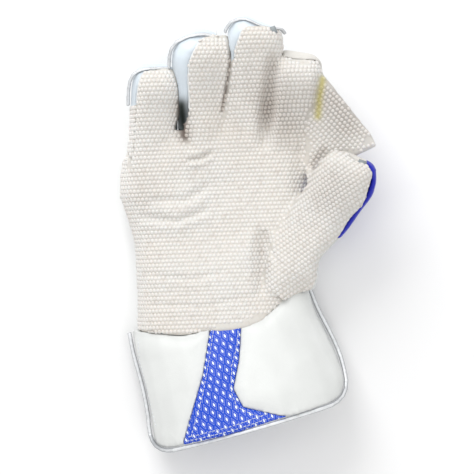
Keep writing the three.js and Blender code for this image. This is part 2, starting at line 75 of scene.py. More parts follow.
def new_finish(name, **sockets):
    """A material with one principled shader, and its node tree and shader."""
    finish = bpy.data.materials.new(name)
    finish.use_nodes = True
    tree = finish.node_tree
    tree.nodes.clear()
    shader = add_node(tree, "ShaderNodeBsdfPrincipled")
    for socket, value in sockets.items():
        shader.inputs[socket.replace("_", " ")].default_value = value
    output = add_node(tree, "ShaderNodeOutputMaterial")
    tree.links.new(shader.outputs[0], output.inputs["Surface"])
    return finish, tree, shader


def ramp(tree, source, stops):
    """A colour ramp from (place, colour) stops."""
    node = add_node(tree, "ShaderNodeValToRGB", links={"Fac": source})
    elements = node.color_ramp.elements
    for element, (place, colour) in zip([elements[0], elements[1]], stops):
        element.position, element.color = place, colour
    for place, colour in stops[2:]:
        elements.new(place).color = colour
    return node


def bump(tree, shader, source, strength, depth):
    """Adds relief of a depth in metres on top of the relief the shader has."""
    node = add_node(tree, "ShaderNodeBump", {"Strength": strength, "Distance": depth}, {"Height": source})
    if shader.inputs["Normal"].is_linked:
        tree.links.new(shader.inputs["Normal"].links[0].from_socket, node.inputs["Normal"])
    tree.links.new(node.outputs[0], shader.inputs["Normal"])


def moulded_rubber(name, colour, soil_and_shade_colour):
    """Vulcanised natural rubber: matt, slightly translucent, flecked with dust, darkened by soil and
    painted shade where its points are marked, and stained yellow where they are marked.
    """
    finish, tree, shader = new_finish(name, Roughness=0.58, IOR=1.52, Subsurface_Weight=0.06)
    shader.inputs["Subsurface Radius"].default_value = (0.004, 0.0025, 0.0018)
    place = add_node(tree, "ShaderNodeTexCoord").outputs["Object"]
    cloudy = add_node(tree, "ShaderNodeTexNoise", {"Scale": 22.0, "Detail": 3.0}, {"Vector": place})
    base = linear(colour)
    pink = [base[0], base[1] * 0.975, base[2] * 0.95, 1.0]
    blush = ramp(tree, cloudy.outputs[0], [(0.38, base), (0.72, pink)])
    specks = add_node(tree, "ShaderNodeTexNoise", {"Scale": 260.0, "Detail": 4.0}, {"Vector": place})
    dust = ramp(tree, specks.outputs[0], [(0.5, (0, 0, 0, 1)), (0.72, (1, 1, 1, 1))])
    dusty = add_node(tree, "ShaderNodeMix", {"data_type": "RGBA"}, {6: blush.outputs[0]})
    dusty.inputs[7].default_value = linear(RUBBER_DUST_AND_SHADE)
    weight = add_node(tree, "ShaderNodeMath", {"operation": "MULTIPLY", 1: 0.35}, {0: dust.outputs[0]})
    tree.links.new(weight.outputs[0], dusty.inputs[0])
    shade = dusty.outputs[2]
    # Soil and painted shade where the points are marked for it, then the yellow stain.
    for mark, tint, most in (("soil_and_shade", soil_and_shade_colour, 1.0), ("stain", RUBBER_STAIN, 0.75)):
        place = add_node(tree, "ShaderNodeAttribute", {"attribute_name": mark})
        part = add_node(tree, "ShaderNodeMath", {"operation": "MULTIPLY", 1: most},
                        {0: place.outputs["Fac"]})
        marked = add_node(tree, "ShaderNodeMix", {"data_type": "RGBA"}, {0: part.outputs[0], 6: shade})
        marked.inputs[7].default_value = linear(tint)
        shade = marked.outputs[2]
    tree.links.new(shade, shader.inputs["Base Color"])
    bump(tree, shader, specks.outputs[0], 0.25, 0.0003)
    return finish


def mesh_arrays(mesh):
    points = np.empty(len(mesh.vertices) * 3, np.float64)
    mesh.vertices.foreach_get("co", points)
    edges = np.empty(len(mesh.edges) * 2, np.int64)
    mesh.edges.foreach_get("vertices", edges)
    return points.reshape(-1, 3), edges.reshape(-1, 2)


def vertex_normals(mesh):
    normals = np.empty(len(mesh.vertices) * 3, np.float32)
    mesh.vertex_normals.foreach_get("vector", normals)
    return normals.reshape(-1, 3)


def tree_of(meshes):
    """A search tree over the faces of several meshes."""
    points, faces = [], []
    for mesh in meshes:
        start = len(points)
        points += [v.co.copy() for v in mesh.vertices]
        faces += [[start + i for i in f.vertices] for f in mesh.polygons]
    return BVHTree.FromPolygons(points, faces)


def distance_to(tree, points):
    return np.array([tree.find_nearest(Vector(p))[3] for p in points])


# How far a point moves towards its neighbours' middle in one round.
EASE = 0.6


def softened(points, edges, weight, rounds):
    """Each round moves each point towards the middle of its neighbours, by its weight."""
    count = len(points)
    valence = np.bincount(edges.ravel(), minlength=count)[:, None]
    a, b = edges.T
    for _ in range(rounds):
        middle = np.stack([np.bincount(a, points[b, i], count) + np.bincount(b, points[a, i], count)
                           for i in range(3)], axis=1) / valence
        points = points + EASE * weight[:, None] * (middle - points)
    return points


# The step between the index finger and the web, as points in plan in mm, which the sheet spans.
WEB_FOLD = [(47, 88), (44, 78), (43, 66), (43, 54), (44, 42)]
BALL_STEP = 1.5
# Rays start well above the glove, in metres, and run straight down.
RAY_HEIGHT = 0.3
DOWN = Vector((0, 0, -1))


def met_from_above(tree, x, y):
    """Where a ray straight down at a place in plan, in mm, first meets the surface, and its normal."""
    return tree.ray_cast(Vector((x * MM, y * MM, RAY_HEIGHT)), DOWN)[:2]


def bridge(body, tree, line, reach, thick):
    """Balls in a row that carry the sheet over the step along a line, level with both its sides."""
    lengths = [math.dist(a, b) for a, b in zip(line, line[1:])]
    for (a, b), length in zip(zip(line, line[1:]), lengths):
        for i in range(int(length / BALL_STEP) + 1):
            share = i * BALL_STEP / length
            x, y = [p + (q - p) * share for p, q in zip(a, b)]
            heights = []
            for side in (-reach, reach):
                spot, _ = met_from_above(tree, x + side, y)
                if spot is not None:
                    heights.append(spot.z)
            if len(heights) == 2:
                place = Vector((x * MM, y * MM, sum(heights) / 2 - thick * MM))
                bmesh.ops.create_icosphere(body, subdivisions=2, radius=thick * MM,
                                           matrix=Matrix.Translation(place))


def joined_bodies(name, nodes, swell):
    """The bodies of several CAD nodes in one mesh, each swollen a little so that they meet."""
    body = bmesh.new()
    if "web_facing" in nodes:
        bridge(body, tree_of([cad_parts[n].data for n in nodes]), WEB_FOLD, reach=5.0, thick=4.5)
    for node in nodes:
        part = bmesh.new()
        part.from_mesh(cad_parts[node].data)
        bmesh.ops.remove_doubles(part, verts=part.verts, dist=1e-6)
        part.normal_update()
        for vert in part.verts:
            vert.co += vert.normal * swell * MM
        piece = bpy.data.meshes.new(node + "_swollen")
        part.to_mesh(piece)
        part.free()
        body.from_mesh(piece)
    mesh = bpy.data.meshes.new(name)
    body.to_mesh(mesh)
    body.free()
    return mesh


# A seam holds a piece's shape where another piece is this near, and less and less over its reach.
SEAM_WIDTH = 0.6
SEAM_REACH = 4.0


def soft_piece(name, nodes, voxel, rounds, held=0.25, swell=0.0):
    """The CAD nodes' bodies remeshed as one and softened, less beside what they are sewn to."""
    mesh = joined_bodies(name, nodes, swell)
    piece = bpy.data.objects.new(name, mesh)
    bpy.context.scene.collection.objects.link(piece)
    remesh = piece.modifiers.new("remesh", "REMESH")
    remesh.mode, remesh.voxel_size = "VOXEL", voxel * MM
    depsgraph = bpy.context.evaluated_depsgraph_get()
    made = bpy.data.meshes.new_from_object(piece.evaluated_get(depsgraph))
    piece.modifiers.clear()
    piece.data = made
    made.name = name
    made.materials.clear()
    points, edges = mesh_arrays(made)
    others = tree_of([o.data for n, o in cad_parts.items() if n not in nodes])
    near = distance_to(others, points) / MM
    weight = np.clip((near - SEAM_WIDTH) / SEAM_REACH, held, 1.0)
    points = softened(points, edges, weight, rounds)
    made.vertices.foreach_set("co", points.ravel())
    made.update()
    made.shade_smooth()
    seam = made.attributes.new("seam_mm", "FLOAT", "POINT")
    seam.data.foreach_set("value", near.astype(np.float32))
    return piece


def moved(piece, shift):
    """Moves the piece's points by shift(points, normals, distance from a seam), all in mm."""
    mesh = piece.data
    points, _ = mesh_arrays(mesh)
    points = points + shift(points / MM, vertex_normals(mesh), values_of(mesh, "seam_mm")) * MM
    points[:, 2] = np.maximum(points[:, 2], 0.0)
    mesh.vertices.foreach_set("co", points.ravel())
    mesh.update()


def line_distance(points, line):
    """How far each point is in plan from a line of points, and how far along the line it is."""
    best = np.full(len(points), 1e9)
    along = np.zeros(len(points))
    lengths = [math.dist(a, b) for a, b in zip(line, line[1:])]
    for i, (a, b) in enumerate(zip(line, line[1:])):
        a, b = np.array(a, float), np.array(b, float)
        share = np.clip(((points[:, :2] - a) @ (b - a)) / lengths[i] ** 2, 0, 1)
        gap = np.linalg.norm(points[:, :2] - a - share[:, None] * (b - a), axis=1)
        closer = gap < best
        best[closer] = gap[closer]
        along[closer] = (sum(lengths[:i]) + share[closer] * lengths[i]) / sum(lengths)
    return best, along


def zone_leads(piece, nodes):
    """How much nearer each point lies to one CAD node than to the piece's other nodes."""
    points, _ = mesh_arrays(piece.data)
    for node in nodes:
        here = distance_to(tree_of([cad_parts[node].data]), points)
        beside = distance_to(tree_of([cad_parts[n].data for n in nodes if n != node]), points)
        lead = piece.data.attributes.new("lead_" + node, "FLOAT", "POINT")
        lead.data.foreach_set("value", ((beside - here) / MM).astype(np.float32))


def values_of(mesh, name):
    values = np.empty(len(mesh.vertices), np.float32)
    mesh.attributes[name].data.foreach_get("value", values)
    return values


# Where wear has pulled the pieces out of their drawn shape: the CAD nodes, the place in plan, how
# far the pull reaches from it, and the pull, all in mm.
PULLS = [
    (("thumb_facing", "thumb_back"), (80, 59), 11, (-2.6, -3.6, 0.0)),
    (("thumb_facing", "thumb_back"), (69, 63), 9, (0.0, -3.4, 0.0)),
    (("thumb_facing", "thumb_back"), (88, 27), 13, (2.6, 0.0, 0.0)),
    (("thumb_facing",), (36, -45), 11, (0.0, 0.0, -9.0)),
    (("cuff_right_panel",), (36, -43), 10, (0.0, 0.0, 4.5)),
    (("palm_facing", "hand_back", "little_back"), (-88, 36), 24, (-2.9, 0.0, 0.0)),
    (("cuff_piping",), (2, -142), 44, (0.0, 0.0, 11.6)),
    (("thumb_facing", "thumb_back"), (62, -18), 16, (-7.9, -0.7, 0.0)),
    (("thumb_facing",), (26, -48), 8, (-0.7, -2.9, 0.0)),
    (("thumb_facing",), (87, 31), 10, (-2.9, 0.0, 0.0)),
    (("thumb_facing",), (73, 8), 10, (-2.0, 0.9, 0.0)),
    (("web_facing", "web_back"), (88, 62), 12, (1.8, -0.7, 0.0)),
    (("palm_facing",), (-14, -68), 12, (0.0, -2.4, 2.6)),
    (("palm_facing",), (4, -64), 10, (0.0, -1.6, 2.6)),
    (("cuff_right_panel",), (38, -46), 11, (0.0, 10.0, 0.0)),
    (("cuff_back",), (46, -124), 24, (0.7, -3.0, 0.0)),
    (("cuff_piping",), (45, -46), 8, (-1.4, 7.0, 0.0)),
    (("cuff_left_panel", "cuff_piping", "cuff_back"), (-78, -91), 20, (-3.4, 0.0, 0.0)),
    (("palm_facing", "index_back"), (35, 132), 13, (0.0, -2.9, 0.0)),
    (("palm_facing", "middle_back", "middle_piping"), (19, 154), 12, (-1.4, -4.3, 0.0)),
    (("middle_back", "middle_piping"), (10, 158), 12, (-2.2, -3.6, 0.0)),
    (("ring_back", "ring_piping"), (-16, 146), 12, (-1.4, -4.3, 0.0)),
    (("palm_facing",), (-30, 139), 8, (-5.0, 1.4, 0.0)),
    (("palm_facing",), (-2, 146), 8, (-2.2, 1.4, 0.0)),
    (("palm_facing",), (-74, 118), 9, (-2.9, 2.9, 0.0)),
    (("little_back", "little_piping"), (-65, 123), 12, (0.0, -2.2, -1.5)),
    (("palm_facing",), (-45, 76), 6, (-5.0, 0.0, 0.0)),
    (("ring_back",), (-48, 83), 9, (0.0, 0.0, -12.0)),
]


def pillowed(height, reach):
    """A shift that swells a padded panel between its seams."""
    def shift(points, normals, near):
        rise = height * (1 - np.exp(-(near / reach) ** 2))
        return normals * (rise * np.clip(normals[:, 2] * 2, 0, 1))[:, None]
    return shift


def pulled(piece, nodes):
    """Pulls the soft piece out of its drawn shape in plan, as wear has: the rows of PULLS."""
    mesh = piece.data
    points, _ = mesh_arrays(mesh)
    points = points / MM
    shift = np.zeros_like(points)
    for pieces, place, reach, pull in PULLS:
        chosen = [n for n in nodes if n in pieces]
        if not chosen:
            continue
        share = np.exp(-(np.linalg.norm(points[:, :2] - place, axis=1) / reach) ** 2)
        if len(chosen) < len(nodes):
            lead = np.max([values_of(mesh, "lead_" + n) for n in chosen], axis=0)
            share = share * np.clip(lead / 4 + 0.5, 0, 1)
        shift += share[:, None] * pull * np.array([1, 1, 0])
        shift[:, 2] += share * pull[2] * np.clip((points[:, 2] - 25) / 12, 0, 1)
    mesh.vertices.foreach_set("co", ((points + shift) * MM).ravel())
    mesh.update()


# Where the glove is painted darker, and where a yellow stain shows beside the index finger: a line of
# points in plan, how far the mark reaches from it in mm, and how strong it is. The darker marks are
# painted shade along the slits between the fingers and along the valleys and creases of the palm, and
# darker patches on the palm, the web and the thumb.
SOILED_AND_SHADED = [
    ([(19, 118), (16, 103), (13, 86)], 8, 0.38),
    ([(20, 88), (24, 78)], 13, 0.35),
    ([(60, 96), (70, 78)], 15, 0.45),
    ([(55, 27), (60, 33)], 17, 0.30),
    ([(10, -2), (10, -26)], 6, 0.22),
    ([(5, 98), (5, 104)], 11, 0.15),
    ([(-19, 92), (-19, 98)], 12, 0.12),
    ([(37, 80), (37, 92)], 12, 0.18),
    ([(-76, 40), (-76, 24)], 12, 0.16),
    ([(-48, 92), (-46, 70)], 4.5, 1.00),
    ([(-12, 134), (-13.5, 118), (-16, 103), (-19, 88)], 1.1, 0.85),
    ([(54, 60), (46, 50)], 3.0, 0.50),
]
STAINED = [([(53, 110), (51, 98), (50, 84)], 2.6, 0.95)]
# The upward part of a normal beyond which a face counts as turned up.
UPWARD = 0.35


def marked(mesh):
    """Writes how much darkening, soil with painted shade, and how much stain each point takes, from the
    tables of places in plan.
    """
    points, _ = mesh_arrays(mesh)
    facing = vertex_normals(mesh)[:, 2]
    for name, rows in (("soil_and_shade", SOILED_AND_SHADED), ("stain", STAINED)):
        amount = np.zeros(len(points))
        for line, reach, most in rows:
            gap, _ = line_distance(points / MM, line)
            amount += most * np.exp(-(gap / reach) ** 2)
        if rows is STAINED:
            amount *= np.clip(facing / UPWARD, 0, 1)
        mark = mesh.attributes.new(name, "FLOAT", "POINT")
        mark.data.foreach_set("value", np.clip(amount, 0, 1).astype(np.float32))


def creased(folds):
    """A shift that presses folds into an upper face: (points of the line, depth, width) each."""
    def shift(points, normals, near):
        depth = np.zeros(len(points))
        for line, deep, wide in folds:
            gap, along = line_distance(points, line)
            ends = np.clip(np.minimum(along, 1 - along) / 0.25, 0, 1) ** 0.5
            dent = np.exp(-(gap / wide) ** 2) - 0.45 * np.exp(-((gap - 2.0 * wide) / wide) ** 2)
            depth += deep * dent * ends
        facing = np.clip(normals[:, 2], 0, 1) * np.clip(near / 3, 0, 1)
        return -normals * (depth * facing)[:, None]
    return shift


def rolling(size, height, seed):
    """A shift that gives a soft sheet low, broad waves of that size and height."""
    def shift(points, normals, near):
        wave = np.array([noise.noise(Vector(p) / size + Vector((seed, 0, 0))) for p in points])
        return normals * (wave * height * np.clip(near / 6, 0, 1))[:, None]
    return shift


RUBBER_NODES = ("palm_facing", "thumb_facing", "web_facing")
palm = soft_piece("palm_rubber", RUBBER_NODES, 1.4, 14, swell=0.25)
zone_leads(palm, RUBBER_NODES)
points, edges = mesh_arrays(palm.data)
leads = np.sort([np.abs(values_of(palm.data, "lead_" + n)) for n in RUBBER_NODES], axis=0)
points = softened(points, edges, np.clip(1.4 - leads[0] / 4, 0, 1), 24)
palm.data.vertices.foreach_set("co", points.ravel())
pulled(palm, RUBBER_NODES)
# Creases of the palm and the soft valleys between the fingers: points in plan, depth and width.
PALM_FOLDS = [
    ([(-80, 12), (-52, 9), (-27, 18)], 1.7, 2.6),
    ([(-72, 24), (-46, 24), (-26, 36)], 1.3, 2.8),
    ([(-45, 53), (-35, 54), (-25, 59)], 2.2, 1.8),
    ([(-79, -29), (-41, -33), (-13, -27)], 0.7, 2.2),
    ([(-77, -51), (-31, -53), (7, -43)], 0.6, 2.0),
    ([(10, 3), (9, -21), (10, -46)], 3.4, 4.0),
    ([(76, 22), (84, 25)], 1.2, 1.2),
    ([(18, 128), (16, 103), (13, 81), (11, 60)], 5.0, 4.5),
    ([(50, 114), (48, 96), (47, 82)], 1.6, 2.4),
    ([(-12, 135), (-13.5, 118), (-16, 103), (-19, 86)], 3.4, 1.5),
    ([(12, 4), (16, -12), (24, -24)], 1.0, 1.6),
    ([(5, 0), (3, -16), (4, -34)], 0.9, 2.0),
]
moved(palm, creased(PALM_FOLDS))
moved(palm, rolling(24, 1.0, 3.1))
marked(palm.data)
# The sheet between the pimples: a matt warm grey-white with dust in it, a little darker than the domes as
# painted shade between them, and with painted shade in the valleys.
rubber = moulded_rubber("moulded_natural_rubber", RUBBER_SHEET, RUBBER_SOIL_AND_SHADE)
palm.data.materials.append(rubber)
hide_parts(*RUBBER_NODES)
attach(palm, "root")


# Pimples
# Small domes moulded in one with the rubber sheet, for grip: rows 3 mm apart that run straight
# across the hand and each finger, every second row set half a step over.
PIMPLE_STEP = 3.0
PIMPLE_HEIGHT = 0.6
PIMPLE_ALONG_ROW = 1.48
PIMPLE_ACROSS_ROW = 1.34
PIMPLE_SIDES = 8
PROFILE_STEP = 0.5


def surface_profiles(tree, across, way, distance, clear):
    """The sheet's upper face cut at one distance up the hand, as runs of (place in plan, point)."""
    runs = [[]]
    for i in range(int(-110 / PROFILE_STEP), int(110 / PROFILE_STEP)):
        side = i * PROFILE_STEP
        start = (across * distance + way * side) * MM + Vector((0, 0, RAY_HEIGHT))
        spot = tree.ray_cast(start, DOWN)[0]
        if spot is None:
            if runs[-1]:
                runs.append([])
            continue
        if runs[-1]:
            middle = (spot + runs[-1][-1][1]) / 2
            if tree.find_nearest(middle)[3] > clear * MM:
                runs.append([])
        runs[-1].append((side, spot))
    return [run for run in runs if len(run) > 3]


# Places in plan where the pimples are worn off, and how far round them in mm.
WORN_PLAIN = [((40, 128), 7), ((-12, 138), 5), ((-70, 118), 3), ((86, 66), 3)]


def pimple_spots(mesh, tree, node, heading, rows, columns, plain_edge, only):
    """Places and normals at equal steps along the rows. Each run of a row counts from a column."""
    turn = math.radians(heading)
    across = Vector((math.sin(turn), math.cos(turn), 0))
    way = Vector((math.cos(turn), -math.sin(turn), 0))
    seam = values_of(mesh, "seam_mm")
    lead = values_of(mesh, "lead_" + node)
    spots = []
    for row in range(*rows):
        for run in surface_profiles(tree, across, way, row * PIMPLE_STEP, 1.2):
            lengths = [0.0]
            for (_, a), (_, b) in zip(run, run[1:]):
                lengths.append(lengths[-1] + (b - a).length / MM)
            sides = [side for side, _ in run]
            column = min(columns, key=lambda c: max(sides[0] - c, c - sides[-1], 0))
            origin = np.interp(column, sides, lengths) + (row % 2) * PIMPLE_STEP / 2
            first = math.ceil(-origin / PIMPLE_STEP)
            last = math.floor((lengths[-1] - origin) / PIMPLE_STEP)
            for count in range(first, last + 1):
                place = origin + count * PIMPLE_STEP
                i = min(int(np.searchsorted(lengths, place)), len(run) - 1)
                share = (place - lengths[i - 1]) / max(lengths[i] - lengths[i - 1], 1e-6) if i else 0
                guess = run[max(i - 1, 0)][1].lerp(run[i][1], share)
                spot, face, index, gap = tree.find_nearest(guess)
                corners = list(mesh.polygons[index].vertices)
                if gap > 1.0 * MM or face.z < -0.2:
                    continue
                if seam[corners].mean() < plain_edge or lead[corners].mean() < 0.7:
                    continue
                x, y = spot.x / MM, spot.y / MM
                if only and not only(x, y):
                    continue
                if any(math.dist((x, y), worn) < reach for worn, reach in WORN_PLAIN):
                    continue
                spots.append((spot, face))
    return spots, across


def small_piece(name, points, faces, finish, slot):
    """A piece of detail made straight from its points and faces."""
    mesh = bpy.data.meshes.new(name)
    mesh.from_pydata(points, [], faces)
    mesh.shade_smooth()
    mesh.materials.append(finish)
    piece = bpy.data.objects.new(name, mesh)
    bpy.context.scene.collection.objects.link(piece)
    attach(piece, "root")
    return piece


def pimples(name, sheet, node, heading, rows, columns, plain_edge, only=None):
    """Domes in rows over a sheet. The rows are counted from the origin along heading, in degrees."""
    tree = tree_of([sheet.data])
    spots, across = pimple_spots(sheet.data, tree, node, heading, rows, columns, plain_edge, only)
    rings = ((1.0, -0.25), (0.88, 0.52 * PIMPLE_HEIGHT), (0.55, 0.93 * PIMPLE_HEIGHT))
    points, faces = [], []
    for place, normal in spots:
        side = across.cross(normal).normalized() * PIMPLE_ALONG_ROW
        ahead = normal.cross(side).normalized() * PIMPLE_ACROSS_ROW / max(0.75, abs(normal.z))
        start = len(points)
        for reach, height in rings:
            for i in range(PIMPLE_SIDES):
                angle = 2 * math.pi * i / PIMPLE_SIDES
                offset = side * math.cos(angle) + ahead * math.sin(angle)
                points.append(place + (offset * reach + normal * height) * MM)
        points.append(place + normal * PIMPLE_HEIGHT * MM)
        top = start + len(rings) * PIMPLE_SIDES
        for i in range(PIMPLE_SIDES):
            j = (i + 1) % PIMPLE_SIDES
            for low in range(start, top - PIMPLE_SIDES, PIMPLE_SIDES):
                faces.append((low + i, low + j, low + PIMPLE_SIDES + j, low + PIMPLE_SIDES + i))
            faces.append((top - PIMPLE_SIDES + i, top - PIMPLE_SIDES + j, top))
    marked(small_piece(name, points, faces, pimple_rubber, "pimpled_rubber").data)


# The domes: a little lighter than the sheet, which is painted darker as shade between them, and with a
# paler painted shade where the valleys and slits are marked.
pimple_rubber = moulded_rubber("moulded_rubber_pimples", RUBBER_PIMPLE, RUBBER_DUST_AND_SHADE)
pimples("palm_pimples", palm, "palm_facing", -2, (-28, 56), [-68, -32, 5, 36], 0.7)
pimples("thumb_pimples", palm, "thumb_facing", -35, (-34, 20), [45], 1.2)
pimples("web_pimples", palm, "web_facing", 44, (5, 60), [20], 2.6)


# Leather
# The backs of the fingers, the hand and the cuff are soft chrome-tanned leather over foam, glazed
# to a satin face, in white, a bluish white beside the rubber and royal blue behind the thumb.
LEATHER_WHITE = "#E0E2E0"
LEATHER_SIDE = "#DCE6EE"
LEATHER_BLUE = "#0416B2"
LEATHER_EDGE = "#DEDBD5"
# Soil, and the painted shade that makes the slit between the ring and little fingers nearly black.
LEATHER_SOIL_AND_SHADE = "#39423E"
# Grey towards the seams: rubbing and painted shade.
LEATHER_RUBBED_AND_SHADED = "#8E8F90"


def glazed_leather(name, colour, roughness, rubbing_and_shade=0.12):
    """Chrome-tanned hide with a glazed face: a satin gloss broken by a fine pebbled grain."""
    finish, tree, shader = new_finish(name, Roughness=roughness, IOR=1.5)
    place = add_node(tree, "ShaderNodeTexCoord").outputs["Object"]
    cloudy = add_node(tree, "ShaderNodeTexNoise", {"Scale": 30.0, "Detail": 4.0}, {"Vector": place})
    base = linear(colour)
    worn = [c * 0.93 for c in base[:3]] + [1.0]
    shade = ramp(tree, cloudy.outputs[0], [(0.3, worn), (0.6, base)])
    # The marks paint soil and shade; the slit between the ring and little fingers is painted nearly
    # black.
    soil_and_shade = add_node(tree, "ShaderNodeAttribute", {"attribute_name": "soil_and_shade"})
    soiled_and_shaded = add_node(tree, "ShaderNodeMix", {"data_type": "RGBA"},
                      {0: soil_and_shade.outputs["Fac"], 6: shade.outputs[0]})
    soiled_and_shaded.inputs[7].default_value = linear(LEATHER_SOIL_AND_SHADE)
    # Greyer within 5 mm of a seam: rubbing and painted shade along the seams.
    seam = add_node(tree, "ShaderNodeAttribute", {"attribute_name": "seam_mm"})
    wear_and_shade = {"From Min": 0.4, "From Max": 5.0, "To Min": rubbing_and_shade, "To Max": 0.0}
    edge = add_node(tree, "ShaderNodeMapRange", wear_and_shade, {"Value": seam.outputs["Fac"]})
    darkened = add_node(tree, "ShaderNodeMix", {"data_type": "RGBA"},
                      {0: edge.outputs[0], 6: soiled_and_shaded.outputs[2]})
    darkened.inputs[7].default_value = linear(LEATHER_RUBBED_AND_SHADED)
    tree.links.new(darkened.outputs[2], shader.inputs["Base Color"])
    grain = add_node(tree, "ShaderNodeTexVoronoi", {"Scale": 900.0}, {"Vector": place})
    bump(tree, shader, grain.outputs["Distance"], 0.25, 0.0002)
    bump(tree, shader, cloudy.outputs[0], 0.3, 0.002)
    return finish


# A clean satin white that greys towards its seams, as rubbing and painted shade, on the cuff and the back
# of the hand.
white_leather = glazed_leather("white_glazed_leather", LEATHER_WHITE, 0.42)
# A cooler, glossier white that shows as a pale blue rim beside the rubber of three fingers.
side_leather = glazed_leather("bluish_white_glazed_leather", LEATHER_SIDE, 0.36)
# A deep even blue that hardly greys towards its seams, the one strong colour beside the cuff's stripe.
blue_leather = glazed_leather("royal_blue_glazed_leather", LEATHER_BLUE, 0.5, rubbing_and_shade=0.02)
# A dull beige close to the rubber's own colour, so that the worn edges don't stand out.
edge_leather = glazed_leather("beige_binding_leather", LEATHER_EDGE, 0.55)


def second_finish(piece, finish, chosen):
    """Gives another finish to the faces that chosen(x, y, z), in mm, picks."""
    piece.data.materials.append(finish)
    for face in piece.data.polygons:
        if chosen(*(face.center / MM)):
            face.material_index = len(piece.data.materials) - 1


# The rubber comes round the little finger's side below this line, left of this one, in mm.
SIDE_RUBBER_X = -66
SIDE_RUBBER_Y = 92
LEATHER_PIECES = [
    ("little_leather", "little_back", side_leather, "side_leather", 1.3),
    ("ring_leather", "ring_back", side_leather, "side_leather", 1.3),
    ("middle_leather", "middle_back", side_leather, "side_leather", 1.3),
    ("index_leather", "index_back", edge_leather, "side_leather", 1.3),
    ("thumb_leather", "thumb_back", blue_leather, "blue_leather", 1.3),
    ("web_leather", "web_back", white_leather, "white_leather", 0.9),
    ("hand_leather", "hand_back", white_leather, "white_leather", 1.6),
]
for name, node, finish, slot, voxel in LEATHER_PIECES:
    piece = soft_piece(name, [node], voxel, 8)
    pulled(piece, [node])
    moved(piece, rolling(20, 0.7, len(name)))
    # The ring and little fingers take the marks, with painted shade in the slit between them.
    if node.startswith(("ring", "little")):
        marked(piece.data)
    piece.data.materials.append(finish)
    if node == "little_back":
        second_finish(piece, rubber, lambda x, y, z: x < SIDE_RUBBER_X and y < SIDE_RUBBER_Y)
        lead = piece.data.attributes.new("lead_little_back", "FLOAT", "POINT")
        lead.data.foreach_set("value", np.full(len(piece.data.vertices), 5, np.float32))
        pimples("little_side_pimples", piece, node, -2, (12, 32), [-75], -1,
                lambda x, y: x < SIDE_RUBBER_X and y < SIDE_RUBBER_Y - 1)
    if node == "thumb_back":
        second_finish(piece, white_leather, lambda x, y, z: y < -3)
        second_finish(piece, edge_leather, lambda x, y, z: x < 84 and y > 50 and z > 36)
    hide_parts(node)
    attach(piece, "root")


# Binding
# A narrow fold of soft white leather sewn over the cut edge of the rubber on three fingers, with
# two thread ends left long at the tips and two small leather tabs where the seams are tied off.
BINDING_WHITE = "#EEF0F0"
TAB_GREY = "#8E9598"
BINDING_RADIUS = 0.75
# A thin bright line that draws the edge of each finger.
binding_leather = glazed_leather("soft_white_binding_leather", BINDING_WHITE, 0.5)
# A dull mid grey, which reads as the raw underside of a scrap of leather.
tab_leather = glazed_leather("grey_tab_leather", TAB_GREY, 0.5)


def tube(points, radius, sides=8):
    """The points and faces of a round cord along a line of points, closed at both ends."""
    made, faces = [], []
    for i, place in enumerate(points):
        ahead = (points[min(i + 1, len(points) - 1)] - points[max(i - 1, 0)]).normalized()
        side = ahead.cross(Vector((0, 0, 1))).normalized()
        up = side.cross(ahead)
        for j in range(sides):
            angle = 2 * math.pi * j / sides
            made.append(place + (side * math.cos(angle) + up * math.sin(angle)) * radius * MM)
    for i in range(len(points) - 1):
        for j in range(sides):
            k = (j + 1) % sides
            faces.append((i * sides + j, i * sides + k, (i + 1) * sides + k, (i + 1) * sides + j))
    faces.append(tuple(range(sides - 1, -1, -1)))
    faces.append(tuple(range(len(made) - sides, len(made))))
    return made, faces


def running_mean(points, reach):
    """Each point becomes the mean of itself and its neighbours along the line."""
    groups = [points[max(i - reach, 0):i + reach + 1] for i in range(len(points))]
    return [sum(group, Vector()) / len(group) for group in groups]


palm_tree = tree_of([palm.data])
# Each bound finger: how far up the hand it runs, and between which sides its left edge lies, in mm.
BOUND_EDGES = [
    ("ring_binding", range(88, 142), -48, -22),
    ("middle_binding", range(122, 150), -12, 12),
    ("little_binding", range(93, 118), -84, -58),
]
for name, rows, low, high in BOUND_EDGES:
    edge = []
    for y in rows:
        for run in surface_profiles(palm_tree, Vector((0, 1, 0)), Vector((1, 0, 0)), y, 1.2):
            if low < run[0][0] < high:
                edge.append(run[0][1] + Vector((0, 0, -0.3)) * MM)
                break
    cord = tube(running_mean(edge, 3), BINDING_RADIUS)
    small_piece(name, *cord, binding_leather, "side_leather")
# Each thread end: its place in plan and its curl from there, in mm.
LOOSE_ENDS = [
    ("little_thread_end", (-66, 119),
     [(0, 0, -1), (-0.6, 2.0, 0.6), (0.5, 3.6, 1.6), (1.8, 4.2, 1.2), (1.2, 5.6, 0.8)]),
    ("ring_thread_end", (-23, 140),
     [(0, 0, -1), (0.4, 1.6, 0.8), (-0.4, 3.2, 1.8), (0.8, 4.6, 1.6), (0.4, 5.8, 1.0)]),
]
LOOSE_END_RADIUS = 0.22
LOOSE_END_HEIGHT = 0.065
for name, place, curl in LOOSE_ENDS:
    root = palm_tree.find_nearest(Vector((place[0] * MM, place[1] * MM, LOOSE_END_HEIGHT)))[0]
    line = [root + Vector(step) * MM for step in curl]
    fine = [line[i].lerp(line[i + 1], share / 3) for i in range(len(line) - 1) for share in range(3)]
    small_piece(name, *tube(running_mean(fine, 2), LOOSE_END_RADIUS), binding_leather, "side_leather")
